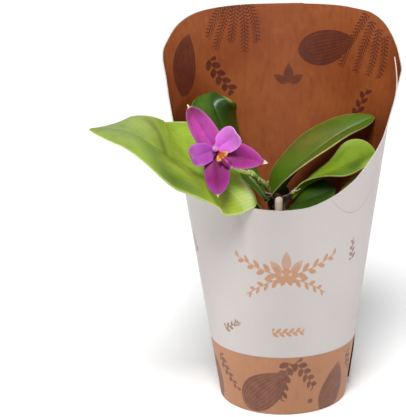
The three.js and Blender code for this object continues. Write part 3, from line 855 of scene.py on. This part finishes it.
def leaf_paint(name, light, mid, dark, margin, gloss, patches):
    """Green leaf skin: mottled, with fine veins along it, a paler margin and the patches of this leaf;
    some patches are painted shade, painted sheen and painted highlights.
    """
    r = Recipe(name)
    u, v = r.uv()
    across = v * 2 - 1
    side = abs(across)
    blotch = r.noise(34, 3)
    small = r.noise(150, 4)
    drift = r.noise(26, 2) - 0.5
    colour = r.mix(blotch.above(0.32, 0.68), mid, light)
    for shade, (u0, v0), (reach_u, reach_v), slant, strength in patches:
        spot = (u - across * slant + drift * 0.10).bell(u0 - v0 * slant, reach_u)
        spot = spot * (across + drift * 0.5).bell(v0, reach_v)
        colour = r.mix(spot * strength, colour, shade)
    colour = r.mix(small.above(0.42, 0.8) * 0.3, colour, dark)
    fine = r.noise(1, 3, r.vector(u * 3, v * 60))
    veins = abs((side * 13 + drift).sum("FRACT") - 0.5).above(0.0, 0.4)
    colour = r.mix((1 - veins) * 0.12, colour, dark)
    colour = r.mix(fine.above(0.5, 0.75) * 0.22, colour, light)
    rib = 1 - side.above(0.0, 0.05)
    colour = r.mix(rib * 0.4, colour, dark)
    colour = r.mix(side.above(0.955, 1.0) * 0.7, colour, margin)
    rough = gloss + small * 0.14 + blotch * 0.06
    normal = r.bump(veins, 0.14, 0.0006, r.bump(fine, 0.08, 0.0005, r.bump(blotch, 0.35, 0.003)))
    return r.finish(colour, rough, normal, subsurface_weight=0.1, subsurface_scale=0.002, coat_weight=0.16,
                    coat_roughness=0.2, specular_ior_level=0.4)


def leaf_underside(name, tone, deep):
    r = Recipe(name)
    _, v = r.uv()
    side = abs(v * 2 - 1)
    blotch = r.noise(40, 3)
    colour = r.mix(blotch.above(0.3, 0.7), tone, deep)
    colour = r.mix((1 - side.above(0.0, 0.07)) * 0.5, colour, tone)
    return r.finish(colour, 0.5 + blotch * 0.1, r.bump(blotch, 0.2, 0.002), subsurface_weight=0.1,
                    subsurface_scale=0.002)


# Greens of each leaf: light, middle and dark, margin, gloss, and patches as a shade, a place
# (along, across), a reach, a slant and a strength.
greens = {
    "leaf_left_front": ("#95af36", "#88a32e", "#5b7714", "#b9c583", 0.30, [
        # Grey-green over the outer end: painted sheen, the reflection of the white surroundings on the
        # waxy blade.
        ("#8e9d66", (0.90, 0.0), (0.26, 1.6), 0.0, 0.75),
        ("#a9bd66", (0.82, 0.7), (0.14, 0.7), 0.0, 0.5),
        ("#9dbb35", (0.52, 0.45), (0.16, 0.8), 0.10, 0.8),
        # Olive line slanting across the blade and its brown end at the upper margin: painted shade of the
        # trough that crosses the blade there.
        ("#6f7228", (0.675, 0.1), (0.034, 1.2), 0.14, 0.75),
        ("#7b6a45", (0.78, 0.72), (0.05, 0.4), 0.14, 0.5),
        ("#62823a", (0.74, -0.45), (0.10, 0.6), 0.10, 0.8),
        # Dark band along the lower margin past the middle: painted shade beside the margin where it curls
        # over.
        ("#48640c", (0.66, -0.85), (0.13, 0.42), 0.0, 0.9),
        ("#5c7a0a", (0.17, -0.2), (0.20, 1.0), 0.0, 0.9),
        ("#93a02c", (0.44, -0.85), (0.12, 0.5), 0.0, 0.8),
        ("#b6c47c", (0.31, -0.88), (0.09, 0.4), 0.0, 0.7),
        # Two thin pale streaks across the lower half near the base: painted highlight of a glossy fold.
        ("#b3c08a", (0.295, -0.55), (0.022, 0.5), 0.0, 0.9),
        ("#a7b56a", (0.345, -0.80), (0.014, 0.3), 0.1, 0.8),
    ]),
    "leaf_left_back": ("#33560a", "#2a4a06", "#1b3404", "#96a24c", 0.27, [
        ("#1f3c04", (0.78, 0.35), (0.26, 0.5), 0.0, 0.85),
        ("#4d7212", (0.90, -0.6), (0.22, 0.7), 0.0, 0.7),
        ("#9aa044", (0.90, 0.92), (0.09, 0.20), 0.0, 0.85),
        ("#6d7c26", (0.62, 1.0), (0.30, 0.14), 0.0, 0.8),
        ("#5b7a20", (0.22, 0.2), (0.16, 1.2), 0.0, 0.6),
    ]),
    "leaf_right_back": ("#58700f", "#4a640a", "#334c04", "#b9b878", 0.36, [
        ("#3d6c0c", (0.24, 0.1), (0.22, 1.4), 0.0, 0.75),
        ("#74702a", (0.56, -0.45), (0.20, 0.6), 0.12, 0.8),
        ("#6c7036", (0.72, -0.2), (0.10, 0.5), 0.12, 0.6),
        ("#44701a", (0.88, 0.3), (0.18, 1.2), 0.0, 0.6),
        ("#6a741c", (0.14, -0.7), (0.12, 0.4), 0.0, 0.7),
    ]),
    "leaf_right_twisted": ("#7f9a20", "#6d8a12", "#466408", "#c0c87c", 0.32, [
        ("#a2b854", (0.62, -0.90), (0.4, 0.40), 0.0, 0.85),
        # Dark patch on the outer blade: painted shade in its hollow.
        ("#3f5e06", (0.80, 0.45), (0.20, 0.8), 0.0, 1.0),
        ("#4c6c0c", (0.62, 0.85), (0.24, 0.5), 0.0, 0.9),
        ("#8ba83c", (0.25, 0.0), (0.2, 1.2), 0.0, 0.6),
        ("#93aa3a", (0.92, 0.8), (0.10, 0.5), 0.0, 0.7),
    ]),
    "leaf_right_low": ("#2d4a07", "#233e04", "#172c03", "#8ba03c", 0.34, [
        ("#4c7012", (0.35, -0.6), (0.3, 0.6), 0.0, 0.5),
    ]),
    "leaf_right_lowest": ("#98a24c", "#848f38", "#56621c", "#e2deb4", 0.34, []),
}
for name, shape in leaves.items():
    leaf = blade_piece(name + "_blade", (1.8, 0.8), **shape)
    light_green, middle_green, _, margin_green, _, _ = greens[name]
    coat(
        leaf,
        leaf_paint(name + "_face", *greens[name]),
        leaf_underside(name + "_back", light_green, middle_green),
        leaf_underside(name + "_margin", margin_green, light_green),
    )
    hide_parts(name)
    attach(leaf, "root")

# Stem and roots: a short woody stem wrapped in the torn papery sheaths of old leaves, and thick
# aerial roots with a pale spongy skin that arch out of it into the bark.


def capped_tube(name, rings, ends, uv, sharp):
    """A closed tube through rings of points, each of its ends drawn together to one point."""
    steps, sides = rings.shape[:2]
    grid = np.arange(steps * sides).reshape(steps, sides)
    beside = np.roll(grid, -1, axis=1)
    faces = np.stack([grid[:-1], beside[:-1], beside[1:], grid[1:]], -1).reshape(-1, 4).tolist()
    first, last = steps * sides, steps * sides + 1
    faces += [(first, beside[0, j], grid[0, j]) for j in range(sides)]
    faces += [(last, grid[-1, j], beside[-1, j]) for j in range(sides)]
    return piece_of(name, np.concatenate([rings.reshape(-1, 3), ends]), faces, uv, sharp=sharp)


def swept(name, path, radius_at, steps, sides, dome):
    """A closed bar along a curve, its ends rounded over the lengths in dome."""
    spine = Spine(path)
    t = np.linspace(0, 1, steps)
    centre, ahead = spine.at(t)
    across = np.cross(ahead[0], (0.3, 0.2, 1.0))
    a = np.linspace(0, 2 * math.pi, sides, endpoint=False)
    rows = []
    total = spine.length[-1]
    for i in range(steps):
        across = across - ahead[i] * (across @ ahead[i])
        across /= np.linalg.norm(across)
        other = np.cross(ahead[i], across)
        near = min(t[i] * total / max(dome[0], 1e-6), (1 - t[i]) * total / max(dome[1], 1e-6), 1.0)
        close = max(math.sqrt(max(1 - (1 - near) ** 2, 0.0)), 0.03)
        radius = radius_at(t[i], a) * close
        ring = (np.cos(a) * radius)[:, None] * across + (np.sin(a) * radius)[:, None] * other
        rows.append(centre[i] + ring)
    around = np.tile(np.linspace(0, 1, sides, endpoint=False), steps)
    uv = np.stack([np.repeat(t, sides), around], -1)
    uv = np.concatenate([uv, [[0, 0.5], [1, 0.5]]])
    return capped_tube(name, np.array(rows), [centre[0], centre[-1]], uv, 60)


def stem_paint():
    r = Recipe("stem_paint")
    place = r.place()
    fibre = r.noise(500, 4, r.stretched(place, (1, 1, 0.12)), 0.65)
    patch = r.noise(110, 3)
    colour = r.mix(patch.above(0.35, 0.65), "#5a3f30", "#8d7660")
    colour = r.mix(fibre.above(0.4, 0.7) * 0.6, colour, "#2f2018")
    colour = r.mix(r.noise(60, 2).above(0.55, 0.7) * 0.7, colour, "#b7a88f")
    return r.finish(colour, 0.85, r.bump(fibre, 0.8, 0.001))


STEM_FOOT, STEM_TOP = 88.0, 146.0


def stem_radius(z, a):
    """Sheaths wind round the stem every 7 mm, each standing out more towards its torn edge."""
    sheath = ((z - STEM_FOOT) / 7 + a / math.pi) % 1
    ragged = 0.35 * np.sin(5 * a + z) + 0.12 * np.sin(17 * a + 0.7 * z)
    return (4.7 + 1.35 * sheath ** 1.4 + ragged) * (1 - 0.45 * ease(z, STEM_TOP - 6, STEM_TOP))


def stem_piece():
    foot, top = STEM_FOOT + 0.3, STEM_TOP - 0.2
    z = np.linspace(foot, top, 150)
    a = np.linspace(0, 2 * math.pi, 64, endpoint=False)
    radius = np.array([stem_radius(h, a) for h in z])
    heights = np.broadcast_to(z[:, None], radius.shape)
    rings = np.stack([STEM_X + np.cos(a) * radius, STEM_Y + np.sin(a) * radius, heights], -1)
    ends = [(STEM_X, STEM_Y, foot), (STEM_X, STEM_Y, top + 0.1)]
    return capped_tube("stem_with_sheaths", rings, ends, None, 45)


stem = stem_piece()
coat(stem, stem_paint())
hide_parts("stem")
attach(stem, "root")


def sheath_paint(name, pale, deep):
    r = Recipe(name)
    u, v = r.uv()
    fibre = r.noise(1, 4, r.vector(u * 3, v * 16))
    colour = r.mix(fibre.above(0.35, 0.65), pale, deep)
    colour = r.mix(r.noise(240, 3).above(0.5, 0.75) * 0.5, colour, "#4a3427")
    return r.finish(colour, 0.8, r.bump(fibre, 0.6, 0.0006))


sheath_tones = {
    "brown": sheath_paint("brown_sheath_paint", "#6d5546", "#46332a"),
    "pink": sheath_paint("pink_sheath_paint", "#a08377", "#6f5549"),
    "cream": sheath_paint("cream_sheath_paint", "#ece2d0", "#cbb8a2"),
}
# Torn ends of old leaf sheaths: angle round the stem, foot and top heights, lean outwards, half
# width and tone.
torn_sheaths = [
    (-100, 139, 152, 6.0, 3.4, "brown"),
    (-122, 137, 150, 7.5, 3.0, "brown"),
    (-140, 139, 151, 6.0, 3.0, "brown"),
    (-72, 138, 150.5, 7.0, 3.0, "pink"),
    (-52, 139, 152, 8.5, 3.0, "pink"),
    (-34, 141, 155, 12.5, 2.8, "cream"),
    (-14, 142, 156, 13.5, 3.0, "cream"),
    (60, 138, 151, 6.0, 3.4, "brown"),
    (150, 137, 149, 6.5, 3.2, "pink"),
]
for i, (angle, foot, top, lean_out, width, tone) in enumerate(torn_sheaths):
    a = math.radians(angle)
    outward = np.array((math.cos(a), math.sin(a), 0.0))
    start = np.array((STEM_X, STEM_Y, foot)) + outward * 5.4
    halfway = start + outward * lean_out * 0.25 + (0, 0, (top - foot) * 0.5)
    path = [start, halfway, start + outward * lean_out + (0, 0, top - foot)]
    torn = blade_piece(
        f"torn_sheath_{i + 1}", (0.7, 0.5), spine=path, up=outward, half_width=width, widest=0.45,
        blunt=0.5, base=width * 0.7, neck=0.1, fold=(-30, -16), rows=40, columns=21,
        wave=dict(height=0.9, count=2.6, phase=(0.2 * i, 0.3 * i + 0.4)),
    )
    coat(torn, *[sheath_tones[tone]] * 3)
    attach(torn, "root")


def root_paint():
    r = Recipe("root_paint")
    fine = r.noise(700, 3)
    patch = r.noise(90, 3)
    colour = r.mix(patch.above(0.3, 0.7), "#cfc3ae", "#b0a08a")
    colour = r.mix(r.noise(45, 2).above(0.55, 0.8) * 0.4, colour, "#98987a")
    colour = r.mix(fine.above(0.45, 0.8) * 0.4, colour, "#7a6450")
    return r.finish(colour, 0.8, r.bump(fine, 0.4, 0.0005), sheen_weight=0.3)


def knobbly(radius, shift):
    """The radius of a root, a little uneven along it and round it."""

    def radius_at(t, a):
        return radius * (0.97 + 0.03 * math.sin(9 * t + shift) + 0.02 * np.sin(3 * a + 14 * t))

    return radius_at


root_skin = root_paint()
# Each root's way from the stem into the bark, and its radius
root_paths = [
    ([(-1.3, -8.6, 142), (-1.4, -12.6, 147.2), (-1.6, -16, 142), (-1.4, -17, 130), (1, -20, 112),
      (4, -22, 98)], 2.7),
    ([(8, 4, 127), (13, 7, 129), (20, 11, 124), (27, 16, 112), (30, 19, 98)], 2.2),
    ([(-8.6, 4, 131), (-14, 8, 132), (-22, 12, 124), (-30, 15, 110), (-34, 17, 98)], 2.4),
    ([(1.2, 9.2, 129), (3, 15, 130), (6, 24, 124), (10, 33, 112), (11, 38, 99)], 2.3),
]
for i, (path, radius) in enumerate(root_paths):
    root = swept(f"aerial_root_{i + 1}_skin", path, knobbly(radius, i), 90, 24, dome=(1.2, 1.2))
    coat(root, root_skin)
    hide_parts(f"aerial_root_{i + 1}")
    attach(root, "root")

# Flower spike and pedicel: a short jointed green stalk that grows from beside the stem, with a
# clasping bract at each turn, and the bloom's own slender stalk that swells into the ovary.


def stalk_paint(name, light, mid):
    r = Recipe(name)
    _, v = r.uv()
    patch = r.noise(160, 3)
    ribs = abs((v * 6).sum("FRACT") - 0.5)
    colour = r.mix(patch.above(0.3, 0.7), light, mid)
    colour = r.mix(ribs.above(0.3, 0.5) * 0.3, colour, "#6c8432")
    normal = r.bump(ribs, 0.25, 0.0008)
    return r.finish(colour, 0.42, normal, subsurface_weight=0.15, subsurface_scale=0.002)


stalk_path = [
    (-8.5, -4, 152), (-11.5, -11, 159), (-15, -18, 162.5), (-17.5, -24, 168), (-20.5, -30, 170),
]


def stalk_radius(t, a):
    joint = 1 + 0.12 * math.exp(-((t * 4 % 1 - 0.5) / 0.18) ** 2)
    return (1.9 - 0.6 * t) * (1 + 0.10 * np.sin(3 * a + 1.0)) * joint


spike = swept("spike_stalk", stalk_path, stalk_radius, 80, 28, dome=(0.8, 0.6))
coat(spike, stalk_paint("spike_paint", "#cad886", "#adc060"))
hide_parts("flower_spike")
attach(spike, "root")
stalk = Spine(stalk_path)
bract_skin = stalk_paint("bract_paint", "#d6e0a4", "#b8ca76")
# Each bract's place along the stalk and the side it stands on
bract_places = [(0.12, -1), (0.3, 1), (0.52, -1), (0.72, 1)]
for i, (t, sign) in enumerate(bract_places):
    foot, ahead = (x[0] for x in stalk.at([t]))
    aside = np.cross(ahead, (0, 0, 1))
    aside = aside / np.linalg.norm(aside) * sign
    path = [foot + aside * 0.9, foot + ahead * 4 + aside * 2.5, foot + ahead * 9 + aside * 3.4]
    bract = blade_piece(
        f"bract_{i + 1}", (0.8, 0.5), spine=path, up=aside, half_width=2.2, base=1.4, neck=0.05,
        fold=(-24, -10), rows=36, columns=17,
    )
    coat(bract, *[bract_skin] * 3)
    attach(bract, "root")

# Bloom: three waxy magenta sepals behind, two broader and paler petals that lean forward in
# front of them, each sepal ending in a small pale green horn.
# BLOOM is the point where they meet, and facing is the way the bloom looks.
BLOOM = np.array((-42.3, -58.0, 194.2))
facing = np.array((0.03, -0.965, 0.262))
facing = facing / np.linalg.norm(facing)
bloom_right = np.cross((0, 0, 1), facing)
bloom_right = bloom_right / np.linalg.norm(bloom_right)
bloom_up = np.cross(facing, bloom_right)


def in_bloom(angle, out, ahead):
    """A point of the bloom: out from its middle at an angle from its right, and ahead of it."""
    a = math.radians(angle)
    return BLOOM + bloom_right * math.cos(a) * out + bloom_up * math.sin(a) * out + facing * ahead


def pedicel_radius(t, a):
    return (1.35 + 0.55 * t ** 1.5 - 0.35 * ease(t, 0.93, 1.0)) * (1 + 0.08 * np.sin(3 * a + 5 * t))


pedicel_path = [
    (-20.7, -31.4, 170.9), (-24, -38, 173.8), (-30, -46, 178.5), (-37.5, -51.5, 187),
    in_bloom(-30, 0.8, -4), in_bloom(0, 0, -0.1),
]
pedicel = swept("pedicel_stalk", pedicel_path, pedicel_radius, 90, 26, dome=(0.6, 0.4))
coat(pedicel, stalk_paint("pedicel_paint", "#c6d67c", "#aec25c"))
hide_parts("pedicel")
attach(pedicel, "root")


def petal_paint(name, inner, body, edge, vein, tip=None, outer=None):
    """Waxy tissue with its own tones at the base and the outer end, a paler margin and faint veins."""
    r = Recipe(name)
    u, v = r.uv()
    side = abs(v * 2 - 1)
    patch = r.noise(260, 3)
    streak = r.noise(1, 3, r.vector(u * 5, v * 26))
    middle = (1 - side.above(0.0, 0.75)) * 0.55 + (1 - u.above(0.15, 0.75)) * 0.6
    colour = r.mix(middle.clamped(), body, inner)
    if outer:
        colour = r.mix((u + side * 0.12).above(0.62, 0.9) * 0.95, colour, outer)
    colour = r.mix(streak.above(0.42, 0.66) * 0.35, colour, vein)
    colour = r.mix((1 - side.above(0.0, 0.06)) * 0.35, colour, vein)
    colour = r.mix(patch.above(0.35, 0.8) * 0.22, colour, edge)
    colour = r.mix(side.above(0.72, 1.0) * 0.55, colour, edge)
    if tip:
        colour = r.mix(u.above(0.91, 0.955), colour, tip)
    normal = r.bump(streak, 0.25, 0.0005, r.bump(patch, 0.1, 0.0005))
    return r.finish(colour, 0.42 + patch * 0.1, normal, subsurface_weight=0.15, subsurface_scale=0.0015,
                    sheen_weight=0.25, sheen_roughness=0.4)


# The tepals start this far out, so that no gap shows between them
TEPAL_FOOT = 1.4
# Each one's way out: its angle, length and lean ahead in degrees, and how far ahead it starts.
# Then its outline as blade_grid takes it.
tepals = {
    "sepal_dorsal": (
        dict(angle=121.3, length=33.8, lean=6, start=0),
        dict(half_width=6.7, widest=0.58, blunt=0.42, base=5.4, fold=(6, 8, 16), point=0.07, horn=0.4),
    ),
    "sepal_lateral_right": (
        dict(angle=-17, length=39.2, lean=25, start=-0.8),
        dict(half_width=6.8, widest=0.5, blunt=0.6, base=5.0, fold=(10, 8, 16), point=0.11, horn=1.5),
    ),
    "sepal_lateral_left": (
        dict(angle=-87.3, length=40.8, lean=34, start=0),
        dict(half_width=6.8, widest=0.54, blunt=0.6, base=5.2, fold=(10, 8, 14), point=0.07, horn=0.4),
    ),
    "petal_right": (
        dict(angle=34, length=26.2, lean=44, start=1.9),
        dict(half_width=7.3, widest=0.56, blunt=0.5, base=3.4, fold=(16, 6, -14)),
    ),
    "petal_left": (
        dict(angle=199, length=26.2, lean=44, start=1.9),
        dict(half_width=6.7, widest=0.56, blunt=0.5, base=3.4, fold=(16, 6, -14)),
    ),
}
# Tones of each: inner, body, edge, vein, tip, outer end
skins = {
    "sepal_dorsal": petal_paint(
        "dorsal_paint", "#b436a0", "#a82c8a", "#b060a8", "#7c1862", "#dcd6a4", "#700d44"
    ),
    "sepal_lateral_right": petal_paint(
        "lateral_right_paint", "#801060", "#a02286", "#b95cac", "#6e0e54", "#e6d9a6", "#a83890"
    ),
    "sepal_lateral_left": petal_paint(
        "lateral_left_paint", "#780c58", "#880f6c", "#98328a", "#600a48", "#b4bd78", "#9a3486"
    ),
    "petal_right": petal_paint("petal_right_paint", "#e070e0", "#e684ea", "#eaa0ec", "#c85ccc"),
    "petal_left": petal_paint(
        "petal_left_paint", "#a644a6", "#aa4aac", "#bb6cba", "#943296", None, "#86387c"
    ),
}
for name, (way, outline) in tepals.items():
    steps = []
    for t in (0, 0.25, 0.5, 0.75, 1):
        bend = math.radians(way["lean"] * (0.45 + 0.8 * t))
        reach = way["length"] * t
        out = TEPAL_FOOT + reach * math.cos(bend)
        steps.append(in_bloom(way["angle"], out, way["start"] + reach * math.sin(bend)))
    tepal = blade_piece(
        name + "_blade", (1.1, 0.7), spine=steps, up=facing, neck=0.17, arch=0.05, rows=90, columns=41,
        groove=0.25, tip=0.35, **outline,
    )
    coat(tepal, *[skins[name]] * 3)
    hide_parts(name)
    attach(tepal, "root")

# Column: the short pale hood in the middle of the bloom, with its anther cap at the tip.
# The column leans away from the lip and its tip bends back over it.
LIP_ANGLE = -50.0
column_radii = [(0, 1.5), (0.35, 1.8), (0.75, 2.2), (0.93, 1.9), (1, 1.1)]
column_steps = [(180, 0, 0.5), (180, 0.9, 4), (180, 0.5, 8), (0, 0.8, 10.4)]
column_path = [in_bloom(LIP_ANGLE + turn, out, ahead) for turn, out, ahead in column_steps]


def column_radius(t, a):
    return through(column_radii, t) * (1 + 0.05 * np.cos(2 * a))


column = swept("column_hood", column_path, column_radius, 60, 32, dome=(0.5, 2.0))


def column_paint():
    r = Recipe("column_paint")
    u, v = r.uv()
    patch = r.noise(500, 3)
    colour = r.mix(u.above(0.45, 1.0), "#8f2a7c", "#cf86c6")
    colour = r.mix(abs(v - 0.5).above(0.1, 0.3) * 0.4, colour, "#a5489b")
    colour = r.mix(patch.above(0.4, 0.75) * 0.3, colour, "#dcb2da")
    normal = r.bump(patch, 0.2, 0.0004)
    return r.finish(colour, 0.35, normal, subsurface_weight=0.2, subsurface_scale=0.0015)


coat(column, column_paint())
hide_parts("column")
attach(column, "root")

# Lip: a narrow keeled blade under the column with a small pointed tip, two upright side lobes
# and a raised callus between them, orange-yellow above and magenta towards the tip.


def lip_spot(out, ahead, aside=0.0):
    """A point of the lip: out from the bloom's middle, ahead of it and to one side."""
    across = in_bloom(LIP_ANGLE + 90, aside, 0) - BLOOM
    return in_bloom(LIP_ANGLE, out, ahead) + across


def lip_paint(name, near, far, fleck, end):
    r = Recipe(name)
    u, _ = r.uv()
    patch = r.noise(420, 3)
    colour = r.mix(u.above(0.35, 0.62), near, far)
    colour = r.mix(u.above(0.86, 1.0), colour, end)
    colour = r.mix(patch.above(0.5, 0.7) * 0.5, colour, fleck)
    normal = r.bump(patch, 0.25, 0.0005)
    return r.finish(
        colour, 0.35, normal, subsurface_weight=0.15, subsurface_scale=0.0015, coat_weight=0.2
    )


keel_steps = [(3.4, 2.6), (5.2, 6.0), (8.2, 9), (12.2, 10.6), (16.6, 9.8)]
keel = blade_piece(
    "lip_blade", (1.5, 0.7), up=facing, half_width=2.3, widest=0.74, blunt=0.6, base=1.7, neck=0.3,
    spine=[lip_spot(*step) for step in keel_steps],
    fold=(24, -14, -30), point=0.07, rows=70, columns=33, groove=-0.5,
)
keel_skin = lip_paint("lip_blade_paint", "#b8561f", "#8a1d68", "#5f1040", "#d9a6cf")
ear_skin = lip_paint("lip_side_paint", "#c8781c", "#d9a03c", "#96401a", "#e2b45c")
lip_parts = [(keel, keel_skin)]
ear_steps = [(5.6, 5.4, 0.5), (6.0, 7.4, 1.7), (6.5, 9.0, 3.1), (6.6, 10.0, 4.4)]
for side_name, sign in (("left", -1), ("right", 1)):
    outward = lip_spot(0, 1, -0.75 * sign) - BLOOM
    ear = blade_piece(
        f"lip_side_lobe_{side_name}", (1.1, 0.6), up=outward, half_width=1.9, widest=0.66, blunt=0.5,
        base=1.5, neck=0.1, fold=(10, 26), rows=36, columns=21,
        spine=[lip_spot(out, ahead, aside * sign) for out, ahead, aside in ear_steps],
    )
    lip_parts.append((ear, ear_skin))


def callus_radius(t, a):
    return 1.15 * (1 + 0.16 * np.cos(2 * a)) * (0.75 + 0.4 * math.sin(math.pi * t))


callus_path = [lip_spot(7.6, 7.6), lip_spot(7.6, 8.9), lip_spot(7.4, 10.4)]
callus = swept("lip_callus", callus_path, callus_radius, 30, 24, dome=(1.2, 1.2))
lip_parts.append((callus, lip_paint("lip_callus_paint", "#c4701d", "#b5541c", "#74243a", "#d9933a")))
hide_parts("lip")
for part, skin in lip_parts:
    coat(part, *[skin] * 3)
    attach(part, "root")
